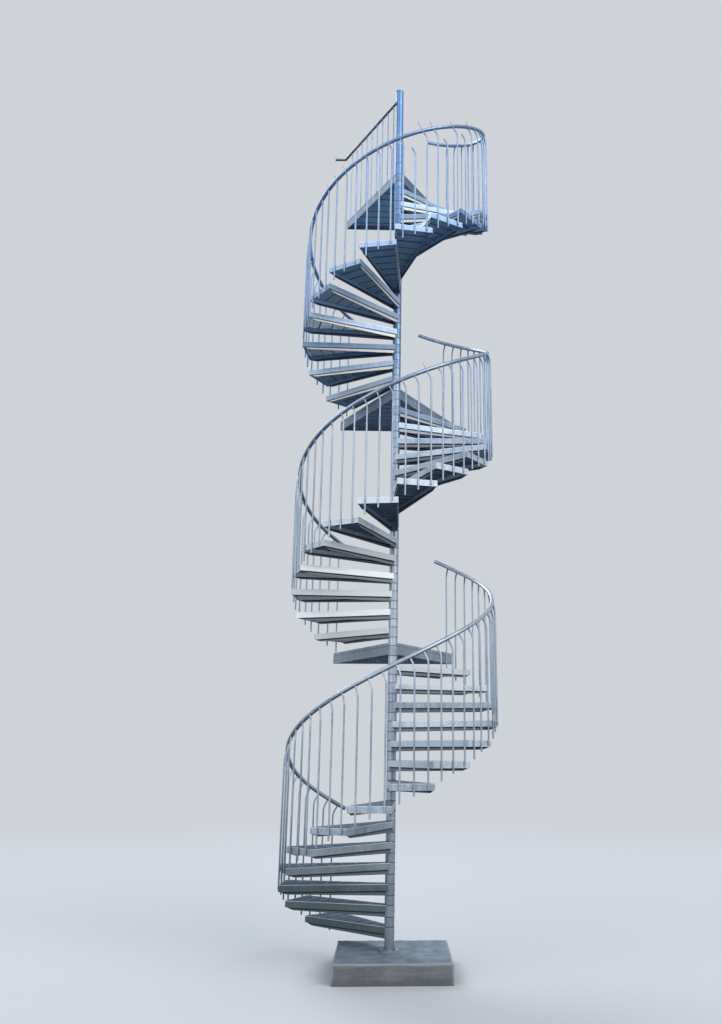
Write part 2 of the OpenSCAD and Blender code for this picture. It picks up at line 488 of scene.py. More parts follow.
class Skin(Weave):
    """The node tree of one material, drawn on the part's own coordinates."""

    def __init__(self, name: str) -> None:
        """Start a material with its shader."""
        self.material = bpy.data.materials.new(name)
        super().__init__(self.material)
        self.shader = self.node("ShaderNodeBsdfPrincipled")
        self.output = self.node("ShaderNodeOutputMaterial", {"Surface": self.read(self.shader)})
        self.place = self.read(self.node("ShaderNodeTexCoord"), "Object")

    def stretch(self, scale: Sequence[float]) -> Reading:
        """Object coordinates, scaled along each axis."""
        return self.read(self.node("ShaderNodeMapping", {"Vector": self.place, "Scale": tuple(scale)}))

    def axis(self, name: str, vector: Reading | None = None) -> Reading:
        """One of the object coordinates, or one part of the vector that is given."""
        return self.read(self.node("ShaderNodeSeparateXYZ", {0: vector or self.place}), name)

    def normal(self) -> Reading:
        """The direction that the surface faces."""
        return self.read(self.node("ShaderNodeNewGeometry"), "Normal")

    def facing_up(self) -> Reading:
        """One where the surface faces up, minus one where it faces down."""
        return self.axis("Z", self.normal())

    def ways(self, azimuth: Reading) -> list[Reading]:
        """Directions in plan: along an azimuth in radians, and to the left of it."""
        east, north = self.maths("COSINE", azimuth), self.maths("SINE", azimuth)
        return [self.read(self.node("ShaderNodeCombineXYZ", {0: x, 1: y}))
                for x, y in ((east, north), (0 - north, east))]

    def part_along(self, vector: Reading, way: Reading) -> Reading:
        """Part of a vector along a way."""
        return self.vector_maths("DOT_PRODUCT", vector, way)

    def noise(self, scale: float, detail: float, rough: float = 0.55,
              where: Reading | None = None) -> Reading:
        """Noise at a scale, in turns for each metre."""
        node = self.node("ShaderNodeTexNoise", {"Vector": where or self.place, "Scale": scale,
                                                "Detail": detail, "Roughness": rough})
        return self.read(node, "Fac")

    def cells(self, scale: float, output: str = "Distance") -> Reading:
        """Voronoi cells at a scale."""
        return self.read(self.node("ShaderNodeTexVoronoi", {"Vector": self.place, "Scale": scale}), output)

    def bump(self, height: Reading, strength: float, distance: float) -> None:
        """Feed the shader's normal from a height."""
        node = self.node("ShaderNodeBump", {"Height": height, "Strength": strength, "Distance": distance})
        self.feed(self.shader.inputs["Normal"], self.read(node))

    def dress(self, **inputs: object) -> Material:
        """Feed the shader's sockets and hand the material over."""
        for key, value in inputs.items():
            self.feed(self.shader.inputs[key.replace("_", " ").title()], value)
        return self.material


def dimmed(colour: Colour, left: float | Colour) -> Colour:
    """A colour with only a share of it left, the same in every channel or one for each."""
    shares = left if isinstance(left, tuple) else (left,) * len(colour)
    return tuple(c * share for c, share in zip(colour, shares))


class SteelSkin(Skin):
    """Tree of a steel material, with the readings that its tones and lines share."""

    slack = 0.0005  # how far over its top a tread still counts as its own level
    levels_under = 8  # levels counted below the lowest tread, so that no count is negative
    tone_start = 35121.0  # where the treads' row of random tones starts
    hub_edge = (0.0006, 0.0014)  # distance beyond the hubs between which column turns into plate
    stained, stain_sway = (0.6, 1.6), 0.3  # where the foot's painted shade and greenish ground reflection end, and how far clouds move it
    bright, bright_reach, bright_sway = 3.3, (0.35, 0.9), 0.4  # middle and reach of the brightest stretch, which carries a painted sheen
    sky = (3.8, 7.6)  # heights between which a painted blue of sky reflection and shade comes in

    def __init__(self, name: str, spangles: float) -> None:
        """Read the places on the stair and the zinc's unevenness, with so many spangles to the metre."""
        super().__init__(name)
        self.height = self.axis("Z")
        self.spread = self.vector_maths("LENGTH", self.stretch((1, 1, 0)))
        level = (self.height - (PLAN.first_top + self.slack)) / PLAN.rise + self.levels_under
        self.below = (1 - self.maths("FRACT", level)) * PLAN.rise
        self.tread = self.maths("FLOOR", level) - (self.levels_under - 1)
        self.plates = self.spread.ramp(*(PLAN.hub + edge for edge in self.hub_edge))
        self.spangle = self.read(self.node("ShaderNodeSeparateColor", {0: self.cells(spangles, "Color")}))
        self.cloud = self.noise(2.6, 3, 0.5)
        self.runs = self.noise(1.0, 3, 0.55, self.stretch((22, 22, 1.2)))
        # share of the painted sky reflection and shade, which grows with height
        self.high = self.height.ramp(*self.sky)
        # low down: painted shade and greenish ground reflection, and rougher zinc
        self.foot = self.swayed(self.stain_sway).fall(*self.stained)
        # share of the painted sheen around the brightest height
        self.painted_sheen = self.swayed(self.bright_sway).near(self.bright, *self.bright_reach)

    def swayed(self, sway: float) -> Reading:
        """The height, moved up and down by the clouds."""
        return self.height + (self.cloud - 0.5) * sway

    def own_tone(self) -> Reading:
        """A random number for each tread."""
        where = {"W": self.tread + self.tone_start}
        node = self.node("ShaderNodeTexWhiteNoise", where, noise_dimensions="1D")
        return self.read(node, "Value")


@dataclass(frozen=True)
class TreadMarks:
    """Tones and lines that a tread's bands, brackets and bars are drawn with, most of them painted light and
    shade.

    dull_shade_edge and gap_shadow_end are depths below the band. crest_start, crest_end and top_end are
    depths below the tread's top. sunlit_from are heights and bar_end distances from the axis.
    """

    # painted sheen on the brightest stretch
    sheen_white: Colour = (0.90, 0.92, 0.90)
    # painted sunlight on the brackets' outer faces high up
    sunlit_cream: Colour = (0.82, 0.80, 0.73)
    # painted shade on the cross bars' faces
    bar: Colour = (0.05, 0.065, 0.085)
    # painted shadow in the gap just under the band
    gap: Colour = (0.015, 0.02, 0.028)
    # painted highlight along the band's top edge
    top_edge_highlight: Colour = (0.90, 0.93, 0.94)
    top: Colour = (0.10, 0.13, 0.18)
    dull_shade_edge: Limits = (0.0004, 0.0012)
    gap_shadow_end: Limits = (0.012, 0.017)
    sunlit_from: Limits = (5.0, 5.8)
    sunlit_rise: float = 0.007
    crest_start: Limits = (0.0007, 0.0010)
    crest_end: Limits = (0.004, 0.006)
    top_end: Limits = (0.0006, 0.0008)
    bar_end: Limits = (1.02, 1.03)

    def draw(self, w: SteelSkin, tone: Reading, own: Reading, dark: Colour) -> tuple[Reading, Reading]:
        """Lay the marks, painted light and shade among them, over the zinc.

        Args:
            w: the material's tree.
            tone: the zinc's colour.
            own: each tread's random number.
            dark: colour of the weathered zinc.

        Returns:
            The marked colour, and the share of plate that is rougher and carries painted shade.
        """
        middle = math.radians(PLAN.start + (PLAN.turn - PLAN.lap) / 2)
        turn = w.maths("MODULO", w.tread, PLAN.steps + 1) * math.radians(PLAN.turn)
        ahead, left = w.ways(turn + middle)
        normal = w.normal()
        outer = (w.part_along(w.place, left) * w.part_along(normal, left)).ramp(0.0, 0.01)
        # faces of the cross bars, which get painted shade
        bars = abs(w.part_along(normal, ahead)).ramp(0.9, 0.95)
        bars = bars * w.part_along(w.place, ahead).fall(*self.bar_end)
        under_band = w.below - PLAN.band
        # below the band: rougher bracket plate with painted shade
        dull_and_shaded = under_band.ramp(*self.dull_shade_edge)
        # outer bracket faces high up, which get painted sunlight
        pale = outer * w.height.ramp(*self.sunlit_from)
        # painted shadow line just under the band
        line = dull_and_shaded * (under_band + pale * self.sunlit_rise).fall(*self.gap_shadow_end)
        # painted highlight just below the tread's top edge
        top_edge_highlight = w.below.ramp(*self.crest_start) * w.below.fall(*self.crest_end)
        # bracket colour: painted shade, and painted sunlight on the outer faces high up
        bracket = w.mix(dimmed(dark, 0.42), self.sunlit_cream, pale)
        # layers: painted sheen, shaded and sunlit brackets, painted shade on the bars, painted shadow line,
        # painted edge highlight, darker tops
        marked = w.layered(tone, (
            (self.sheen_white, w.painted_sheen * own.ramp(0.0, 0.45) * w.plates * 0.8),
            (bracket, dull_and_shaded * w.plates * (pale * 0.1 + 0.85)),
            (self.bar, bars * w.plates * 0.8),
            (self.gap, line * w.plates * 0.95),
            (self.top_edge_highlight, top_edge_highlight * w.plates * 0.8),
            (self.top, w.below.fall(*self.top_end) * 0.7)))
        return marked, dull_and_shaded * w.plates


@dataclass(frozen=True)
class LandingSeam:
    """Dark seam between a landing's upstand and its band, and painted shade that makes the band below it
    darker.

    place and edge are heights over the landing's top, and half is half the seam's width.
    """

    colour: Colour = (0.03, 0.04, 0.05)
    place: float = -0.001
    half: Limits = (0.002, 0.004)
    edge: Limits = (-0.003, 0.0)

    def draw(self, w: SteelSkin, tone: Reading, dark: Colour) -> Reading:
        """Lay the seam and the band's painted shade over the zinc."""
        storeys = (w.height - PLAN.landing_z(0)) / PLAN.storey + 0.5
        above = (w.maths("FRACT", storeys) - 0.5) * PLAN.storey
        return w.layered(tone, (
            # painted shade on the band below the landing's top
            (dimmed(dark, 0.7), above.fall(*self.edge) * w.plates * 0.2),
            (self.colour, above.near(self.place, *self.half) * w.plates * 0.75)))


@dataclass(frozen=True)
class ColumnJoints:
    """Dark rings where hubs, spacers and the top collar meet on the column.

    under_next says how far below the next level a joint starts, first and last at which heights the joints
    start and end, and skin how far beyond the newel hub or spacer starts.
    """

    colour: Colour = (0.03, 0.045, 0.06)
    half: Limits = (0.003, 0.0055)
    under_next: Limits = (0.0045, 0.003)
    first: Limits = (0.30, 0.31)
    last: Limits = (8.64, 8.65)
    collar: float = 8.770
    collar_half: Limits = (0.004, 0.008)
    skin: Limits = (0.0007, 0.0017)

    def draw(self, w: SteelSkin, tone: Reading) -> Reading:
        """Lay the rings over the column's colour."""
        rings = w.below.fall(*self.half).more(w.below.near(PLAN.hub_depth, *self.half)).more(
            w.below.ramp(*(PLAN.rise - gap for gap in self.under_next)))
        rings = rings * w.height.ramp(*self.first) * w.height.fall(*self.last)
        rings = rings.more(w.height.near(self.collar, *self.collar_half))
        tube = w.spread.ramp(*(PLAN.newel + edge for edge in self.skin)) * (1 - w.plates)
        return w.mix(tone, self.colour, rings * tube * 0.8)


COLUMN_LIGHT = (0.42, 0.49, 0.57)
COLUMN_DARK = (0.24, 0.30, 0.38)
# blue of the painted sky reflection on the column's top, and its share
COLUMN_SKY = (0.08, 0.21, 0.46)
COLUMN_SKY_SHARE = 0.78
BLOOM = (0.74, 0.77, 0.79)


@dataclass(frozen=True)
class Galvanised:
    """Hot-dip galvanised steel: faint spangle, soft clouds, runs and a rougher foot, with painted light:
    painted shade and greenish ground reflection low down, painted shade underneath, and painted sky
    reflection and shade at the top.

    The zinc goes from dark to light. under is how dark the painted shade on its undersides is, foot how far
    the lowest steps take painted shade and greenish ground reflection and stain the colour that this leaves,
    sky how far painted sky reflection and shade turn it blue at the top, and shade how far a surface faces
    down where the painted shade lies. spangle counts cells to the metre.
    """

    name: str
    light: Colour
    dark: Colour
    metal: float = 0.6
    rough: float = 0.34
    spangle: float = 60.0
    by_tread: bool = False
    seam: bool = False
    relief: float = 0.06
    under: float = 0.34
    foot: float = 0.8
    stain: Colour = (0.44, 0.55, 0.44)
    sky: float = 0.45
    blue: Colour = (0.12, 0.28, 0.58)
    shade: Limits = (0.15, 0.9)

    def make(self) -> Material:
        """Build the material."""
        w = SteelSkin(self.name, self.spangle)
        share = w.cloud * 0.55 + w.runs * 0.33 + w.spangle * 0.12
        rough = self.rough + (w.spangle * 0.05 + w.cloud * 0.15) * self.rough
        if self.by_tread:
            own = w.own_tone()
            share = share * 0.74 + own * 0.26
        # share between the dark and light zinc, lifted by the painted sheen except on landings
        clean_and_sheen = (share if self.seam else share + w.painted_sheen * 0.12).ramp(0.32, 0.66)
        # downward faces, which get painted shade
        under = (0 - w.facing_up()).ramp(*self.shade)
        bloom = (w.noise(9.0, 4, 0.6) + w.runs * 0.25).ramp(0.66, 0.86)
        # plates: painted shade underneath, painted shade and greenish ground reflection low down, painted sky
        # reflection and shade high up
        plate = w.layered(w.mix(self.dark, self.light, clean_and_sheen), (
            (dimmed(self.dark, self.under), under * 0.85),
            (dimmed(self.dark, self.stain), w.foot * self.foot),
            (self.blue, w.high * self.sky)))
        # column: painted shade low down and painted sky reflection high up
        tube = w.layered(w.mix(COLUMN_DARK, COLUMN_LIGHT, clean_and_sheen), (
            (dimmed(COLUMN_DARK, 0.5), w.foot * 0.55),
            (COLUMN_SKY, w.high * COLUMN_SKY_SHARE)))
        tone = w.mix(w.mix(tube, plate, w.plates), BLOOM, bloom * (0.28 - w.foot * 0.24))
        if self.by_tread:
            tone, dull_and_shaded = TreadMarks().draw(w, tone, own, self.dark)
            rough = rough + dull_and_shaded * 0.14
        if self.seam:
            tone = LandingSeam().draw(w, tone, self.dark)
        tone = ColumnJoints().draw(w, tone)
        if self.relief:
            w.bump(w.noise(28.0, 2), self.relief, 0.0004)
        return w.dress(base_color=tone, roughness=rough + w.foot * 0.10, metallic=self.metal - 0.2 * bloom)


@dataclass(frozen=True)
class Block:
    """Sizes of the footing, in metres."""

    centre: float = 0.035
    width: float = 1.09
    height: float = 0.18


@dataclass(frozen=True)
class Concrete:
    """Rough cast concrete: grey cement in faint layers, a painted highlight on its edges, darker pits, a
    darker foot, and tops bluer and lighter than the sides from painted sky light.
    """

    name: str
    # tones of the top faces, bluer and lighter than the sides: painted sky light
    base: Colour = (0.13, 0.175, 0.22)
    pale: Colour = (0.235, 0.31, 0.39)
    # tones of the side faces
    side: Colour = (0.115, 0.13, 0.14)
    cast: Colour = (0.215, 0.225, 0.23)
    # painted highlight along the edges
    edge_highlight: Colour = (0.46, 0.49, 0.52)
    # darker colour of the pits and of the foot
    pit_and_foot_dark: Colour = (0.07, 0.075, 0.078)
    block: Block = Block()

    def make(self) -> Material:
        """Build the material."""
        w = Skin(self.name)
        x, y, z = (w.axis(a) for a in "XYZ")
        side_x = self.block.width / 2 - abs(x - self.block.centre)
        side_y = self.block.width / 2 - abs(y)
        over = self.block.height - z
        cloud = w.noise(6.0, 6, 0.65)
        grain = w.noise(120.0, 4, 0.7)
        layers = w.noise(1.0, 4, 0.6, w.stretch((2.5, 2.5, 34)))
        up = w.facing_up().ramp(0.4, 0.8)
        share = (cloud * 0.35 + w.mix(layers, cloud, up) * 0.35 + grain * 0.3).ramp(0.38, 0.64)
        inner = side_x.less(side_y).more(over.less(side_x.more(side_y)))
        # the edges, which get a painted highlight
        edge = (inner + (cloud - 0.5) * 0.03).fall(0.004, 0.028)
        pits = w.cells(46.0).fall(0.02, 0.16)
        foot = (z + (cloud - 0.5) * 0.08).fall(0.01, 0.10)
        # top faces lighter and bluer than the sides: painted sky light
        tone = w.mix(w.mix(self.side, self.cast, share), w.mix(self.base, self.pale, share), up)
        tone = w.layered(tone, ((self.edge_highlight, edge * 0.6), (self.pit_and_foot_dark, pits * 0.55), (self.pit_and_foot_dark, foot * 0.6)))
        w.bump(grain * 0.35 + cloud * 0.5 - pits * 0.6, 0.55, 0.004)
        return w.dress(base_color=tone, roughness=0.86 - foot * 0.10)


@dataclass(frozen=True)
class Finishes:
    """The finished materials."""

    tread: Material
    landing: Material
    deck: Material
    rail: Material
    column: Material
    guard: Material
    bolt: Material
    concrete: Material

    @classmethod
    def make(cls) -> "Finishes":
        """Build every material."""
        # The tones below set each finish's painted shade underneath, painted shade and ground reflection low
        # down, and painted sky reflection and shade high up.
        return cls(
            tread=Galvanised(
                "galvanised_tread", (0.66, 0.74, 0.82), (0.27, 0.34, 0.42), 0.45, 0.36, by_tread=True,
                under=0.12, foot=0.92, stain=(0.20, 0.29, 0.23), sky=0.6, blue=(0.22, 0.43, 0.74)).make(),
            landing=Galvanised(
                "galvanised_landing", (0.36, 0.45, 0.55), (0.21, 0.28, 0.36), 0.45, seam=True, sky=0.75,
                blue=(0.09, 0.18, 0.31)).make(),
            deck=Galvanised(
                "galvanised_deck", (0.27, 0.38, 0.56), (0.15, 0.23, 0.37), 0.4, 0.42, under=0.75, foot=0.3,
                sky=0.6, blue=(0.40, 0.62, 0.76), shade=(-0.9, 0.4)).make(),
            rail=Galvanised(
                "galvanised_rail", (0.42, 0.50, 0.60), (0.24, 0.31, 0.40), 0.7, 0.33, 80, relief=0.0,
                under=0.22, shade=(0.1, 0.65)).make(),
            column=Galvanised(
                "galvanised_column", COLUMN_LIGHT, COLUMN_DARK, 0.75, 0.34, relief=0.0, foot=0.1,
                sky=COLUMN_SKY_SHARE, blue=COLUMN_SKY).make(),
            guard=Galvanised(
                "galvanised_guard", (0.26, 0.29, 0.33), (0.12, 0.14, 0.17), 0.55, 0.36, sky=0.1).make(),
            bolt=Galvanised("zinc_bolt", (0.52, 0.55, 0.57), (0.30, 0.33, 0.36), 0.8, 0.32, 150).make(),
            concrete=Concrete("cast_concrete").make())


def hand_over(part: Part, material: Material, slot: Slot, *stands_for: str) -> Part:
    """Dress a finished part and let it ride on the stair.

    Args:
        part: the finished part.
        material: its material.
        slot: the record's slot that it goes with; not used.
        stands_for: CAD nodes that it replaces.

    Returns:
        The part.
    """
    part.data.materials.clear()
    part.data.materials.append(material)
    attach(part, "root")
    if stands_for:
        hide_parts(*stands_for)
    part.data.calc_loop_triangles()
    LOG.info("%s: %d triangles", part.name, len(part.data.loop_triangles))
    return part


@dataclass
class Handrail:
    """One flight's helical handrail: a tube drawn along the helix, closed by domed ends."""

    layout: Layout
    flight: int
    sides: int = 18
    rings: int = 6
    rings_past: tuple[int, ...] = (1, 4, 3)
    ring_steps: int = 3
    dome: tuple[Limits, ...] = ((0.003, 0.002), (0.006, 0.0015))

    def build(self, finishes: Finishes) -> Part:
        """Model the tube and its ends."""
        k = self.layout
        ring = k.turn / self.rings
        first = k.start - ring
        count = self.rings * k.steps + self.rings_past[self.flight] + 1
        azimuth = first + k.flight_turn[self.flight]
        tube = disc(f"handrail_{self.flight + 1}_tube", self.sides, k.rail_d / 2,
                    polar(k.rail_r, azimuth, k.rail_z(first, self.flight)),
                    (k.lean - math.pi / 2, 0, math.radians(azimuth)), filled=False)
        steps = count * self.ring_steps
        modify(tube, "SCREW", axis="Z", angle=math.radians(count * ring), steps=steps,
               render_steps=steps, screw_offset=count * k.rise / self.rings,
               use_smooth_shade=True, use_merge_vertices=False)
        with editing(tube):
            bpy.ops.mesh.select_mode(type="EDGE")
            bpy.ops.mesh.fill_holes(sides=0)
        outward(tube)
        with editing(tube):
            choose(tube, lambda f: len(f.verts) == self.sides)
            for inset, rise in self.dome:
                bpy.ops.mesh.inset(thickness=inset, use_individual=True)
                bpy.ops.transform.shrink_fatten(value=rise)
        smooth(tube, 40)
        return hand_over(tube, finishes.rail, Slot.RAIL, f"handrail_{self.flight + 1}")


@dataclass
class Balusters:
    """One flight's balusters: bars bent over at the top to meet the handrail squarely."""

    layout: Layout
    flight: int
    drop: float = 0.2
    bend_radius: float = 0.15
    bend_steps: int = 8
    straight: float = 0.012
    into_rail: float = 0.002
    tip: float = 0.008
    chamfer: float = 0.0015
    short_by: tuple[tuple[int, float], ...] = ((22, 0.162), (25, 0.138), (27, 0.078))
    sides: int = 12

    def bar(self, place: int, short: float = 0.0) -> Part:
        """Model one bar as it stands on a flight's first tread.

        Args:
            place: 0, 1 or 2, counted from the nosing.
            short: how far its top stays below the handrail.

        Returns:
            The pattern bar.
        """
        k = self.layout
        azimuth = k.start + (place + 0.5) * k.turn / 3
        normal = k.start + k.turn / 2 - k.lap / 2
        radius = k.baluster_line / math.cos(math.radians(azimuth - normal))
        met = azimuth - k.bend_back
        rail = polar(k.rail_r, met, k.rail_z(met, self.flight) - self.flight * k.storey)
        knee = polar(radius, azimuth, k.rail_z(azimuth, self.flight) - self.flight * k.storey - k.bend_below)
        foot = k.pitch(azimuth) - self.drop
        along = (rail - knee).normalized()
        tip = rail - along * (k.rail_d / 2 - self.into_rail)
        knee.z -= short
        tip.z -= short
        angle = along.angle(UP)
        flat = Vector((along.x, along.y, 0)).normalized()
        run = min(self.bend_radius * math.tan(angle / 2), (tip - knee).length - self.straight)
        bend = run / math.tan(angle / 2)
        bar = disc("baluster_pattern", self.sides, k.baluster_d / 2, (knee.x, knee.y, foot))
        with editing(bar):
            bpy.ops.mesh.inset(thickness=self.chamfer)
            choose(bar, lambda f: len(f.verts) == self.sides)
            bpy.ops.transform.translate(value=(0, 0, -self.chamfer))
            choose(bar, lambda e: e.is_boundary, "EDGE")
            push((0, 0, knee.z - run - foot))
            start = Vector((knee.x, knee.y, knee.z - run))
            bpy.ops.mesh.spin(steps=self.bend_steps, dupli=False, angle=-angle, center=start + flat * bend,
                              axis=UP.cross(flat))
            bow = knee + along * run
            push((tip - bow) - along * self.tip)
            push(along * self.tip)
            resize(0.8 if short else 1.25, tip)
            bpy.ops.mesh.edge_face_add()
        outward(bar)
        smooth(bar, 40)
        return bar

    def build(self, finishes: Finishes) -> Part:
        """Model the patterns and set a copy at each place."""
        k = self.layout
        short = dict(self.short_by) if self.flight == k.flights - 1 else {}
        patterns = {(place, 0.0): self.bar(place) for place in range(3)}
        patterns |= {(j % 3, by): self.bar(j % 3, by) for j, by in short.items()}
        made = []
        for j in range(3 * k.steps):
            index, place = divmod(j, 3)
            rise = Matrix.Translation((0, 0, index * k.rise + self.flight * k.storey))
            move = rise @ turned(index * k.turn + k.flight_turn[self.flight])
            made += copies(patterns[place, short.get(j, 0.0)], [move])
        drop(*patterns.values())
        bars = join(f"balusters_{self.flight + 1}_bars", made)
        return hand_over(bars, finishes.rail, Slot.RAIL, f"balusters_{self.flight + 1}")


@dataclass
class Studs:
    """Thin stud ends that stand square over the handrails where some balusters meet them."""

    layout: Layout
    radius: float = 0.0028
    tip: float = 0.004
    ends: tuple[tuple[int, int, float], ...] = (
        (1, 23, 0.06), (2, 11, 0.05), (2, 12, 0.05), (2, 14, 0.06), (2, 15, 0.07), (2, 16, 0.08),
        (2, 23, 0.10), (2, 24, 0.07), (2, 26, 0.045), (2, 28, 0.05))

    def build(self, finishes: Finishes) -> Part:
        """Set every stud on its handrail."""
        k = self.layout
        made = []
        for flight, baluster, length in self.ends:
            own = k.start + (baluster + 0.5) * k.turn / 3 - k.bend_back
            azimuth = own + k.flight_turn[flight]
            foot = polar(k.rail_r, azimuth, k.rail_z(own, flight))
            way = polar(math.sin(k.lean), azimuth - 90, math.cos(k.lean))
            end = k.rail_d / 2 + length
            stud = disc("stud", 8, self.radius, (0, 0, 0))
            with editing(stud):
                push((0, 0, end - self.tip))
                push((0, 0, self.tip))
                resize(0.6, (0, 0, end))
            stud.data.transform(aimed(foot, way))
            made.append(stud)
        studs = join("rail_studs", made)
        outward(studs)
        return hand_over(studs, finishes.guard, Slot.RAIL)


@dataclass(frozen=True)
class Bolt:
    """A hexagon bolt head or nut with its washer and the bolt's end, standing along +Z."""

    name: str
    size: float
    thick: float
    washer: float = 0.0
    stud: float = 0.0
    washer_thick: float = 0.002

    def pattern(self) -> Part:
        """Model the head, washer and end."""
        parts = []
        base = 0.0
        if self.washer:
            ring = disc(self.name, 16, self.washer, (0, 0, 0))
            with editing(ring):
                push((0, 0, self.washer_thick))
            modify(ring, "BEVEL", width=0.0005, segments=1)
            parts.append(ring)
            base = self.washer_thick
        head = disc(self.name, 6, self.size, (0, 0, base))
        with editing(head):
            push((0, 0, self.thick * 0.8))
            push((0, 0, self.thick * 0.2))
            resize(0.86, (0, 0, base + self.thick))
        parts.append(head)
        if self.stud:
            end = disc(self.name, 10, self.size * 0.5, (0, 0, base + self.thick * 0.9))
            with editing(end):
                push((0, 0, self.stud))
                resize(0.8, (0, 0, 0))
            parts.append(end)
        bolt = join(self.name, parts)
        outward(bolt)
        return bolt


@dataclass
class Gratings:
    """Pressed grating of the treads and landings: bearing bars with cross rods between the bands."""

    layout: Layout
    pitch: float = 0.011
    bar: float = 0.002
    deep: float = 0.019
    rod_pitch: float = 0.033
    rod: float = 0.0045
    rod_sunk: float = 0.0005
    inner: float = 0.062
    top: float = -0.001

    def mat(self, name: str, end: float, width: float, rods: int) -> Part:
        """An untrimmed grating that reaches along +X.

        Args:
            name: what it is for.
            end: distance from the axis to its outer end.
            width: length of its bearing bars.
            rods: number of its cross rods.

        Returns:
            The grating as one part.
        """
        bar = (self.bar, width, self.deep), (self.inner, 0, self.top - self.deep / 2)
        rod_z = self.top - self.rod / 2 - self.rod_sunk
        rod = ((end - self.inner, self.rod, self.rod),
               ((end + self.inner) / 2, -(rods - 1) / 2 * self.rod_pitch, rod_z))
        rows = []
        for (size, first), step, count in ((bar, (self.pitch, 0, 0), int((end - self.inner) / self.pitch)),
                                           (rod, (0, self.rod_pitch, 0), rods)):
            row = cube(name, size, first)
            modify(row, "ARRAY", count=count, use_relative_offset=False, use_constant_offset=True,
                   constant_offset_displace=step)
            rows.append(row)
        return join(name, rows)

    def trim(self, part: Part, corner: Vector, hub: Vector, side: int) -> None:
        """Cut a part off along the inner face of one side band.

        Args:
            part: the part to trim.
            corner: the band's outer corner in plan.
            hub: where the band leaves the hub.
            side: 1 or -1, the side to take off.
        """
        along = (corner - hub).normalized()
        normal = Vector((-along.y, along.x, 0)) * side
        cut(part, corner - normal * self.layout.plate, normal)

    def tread(self) -> Part:
        """Grating of one tread, along +X."""
        k = self.layout
        deck = self.mat("tread_grating", k.chord - k.plate, 0.5, 12)
        turn = math.degrees(k.half)
        for side in (1, -1):
            self.trim(deck, polar(k.radius, side * turn), polar(k.hub - k.flank, side * (turn + 90)), side)
        return deck

    def landing(self) -> Part:
        """Grating of one landing, its bars along the wall."""
        k = self.layout
        deck = self.mat("landing_grating", k.reach - k.plate, 1.6, 45)
        deck.data.transform(turned(90))
        for side, corner, hub in k.landing_sides():
            self.trim(deck, corner, hub, side)
        return deck

    def build(self, finishes: Finishes) -> None:
        """Lay the gratings of every flight and landing."""
        k = self.layout
        tread, landing = self.tread(), self.landing()
        for flight in range(k.flights):
            laid = copies(tread, [k.tread_place(flight, i) for i in range(k.steps)])
            laid += copies(landing, [k.landing_place(flight)])
            hand_over(join(f"gratings_{flight + 1}", laid), finishes.deck, Slot.TREAD)
        drop(tread, landing)


@dataclass
class KickPlates:
    """Low upstands along the sides of the landings, flush with their side bands."""

    layout: Layout
    height: float = 0.03
    start: float = 0.031
    sunk: float = 0.0005
    rounding: float = 0.001

    def plate(self, side: int, corner: Vector, foot: Vector) -> Part:
        """Model the upstand along one side of a landing whose top is at nought.

        Args:
            side: 1 for the left side, -1 for the right one.
            corner: the side's corner at the wall.
            foot: where the side leaves the hub.

        Returns:
            The pattern plate.
        """
        k = self.layout
        way = (corner - foot).normalized()
        long = (corner - foot).length
        plate = cube("kick_plate", (long - self.start, k.plate, self.height),
                     ((long + self.start) / 2, -side * k.plate / 2, self.height / 2 - self.sunk))
        with editing(plate):
            choose(plate, lambda f: f.normal.z > 0.9)
            bpy.ops.mesh.bevel(offset=self.rounding, segments=2)
        plate.data.transform(Matrix.Translation(foot) @ turned(math.degrees(math.atan2(way.y, way.x))))
        cut(plate, (0, k.reach - k.plate, 0), (0, 1, 0))
        return plate

    def build(self, finishes: Finishes) -> Part:
        """Set the upstands on every landing."""
        k = self.layout
        places = [k.landing_place(flight) for flight in range(k.flights)]
        made = []
        for side in k.landing_sides():
            made += spend(self.plate(*side), places)
        return hand_over(join("kick_plates", made), finishes.landing, Slot.TREAD)


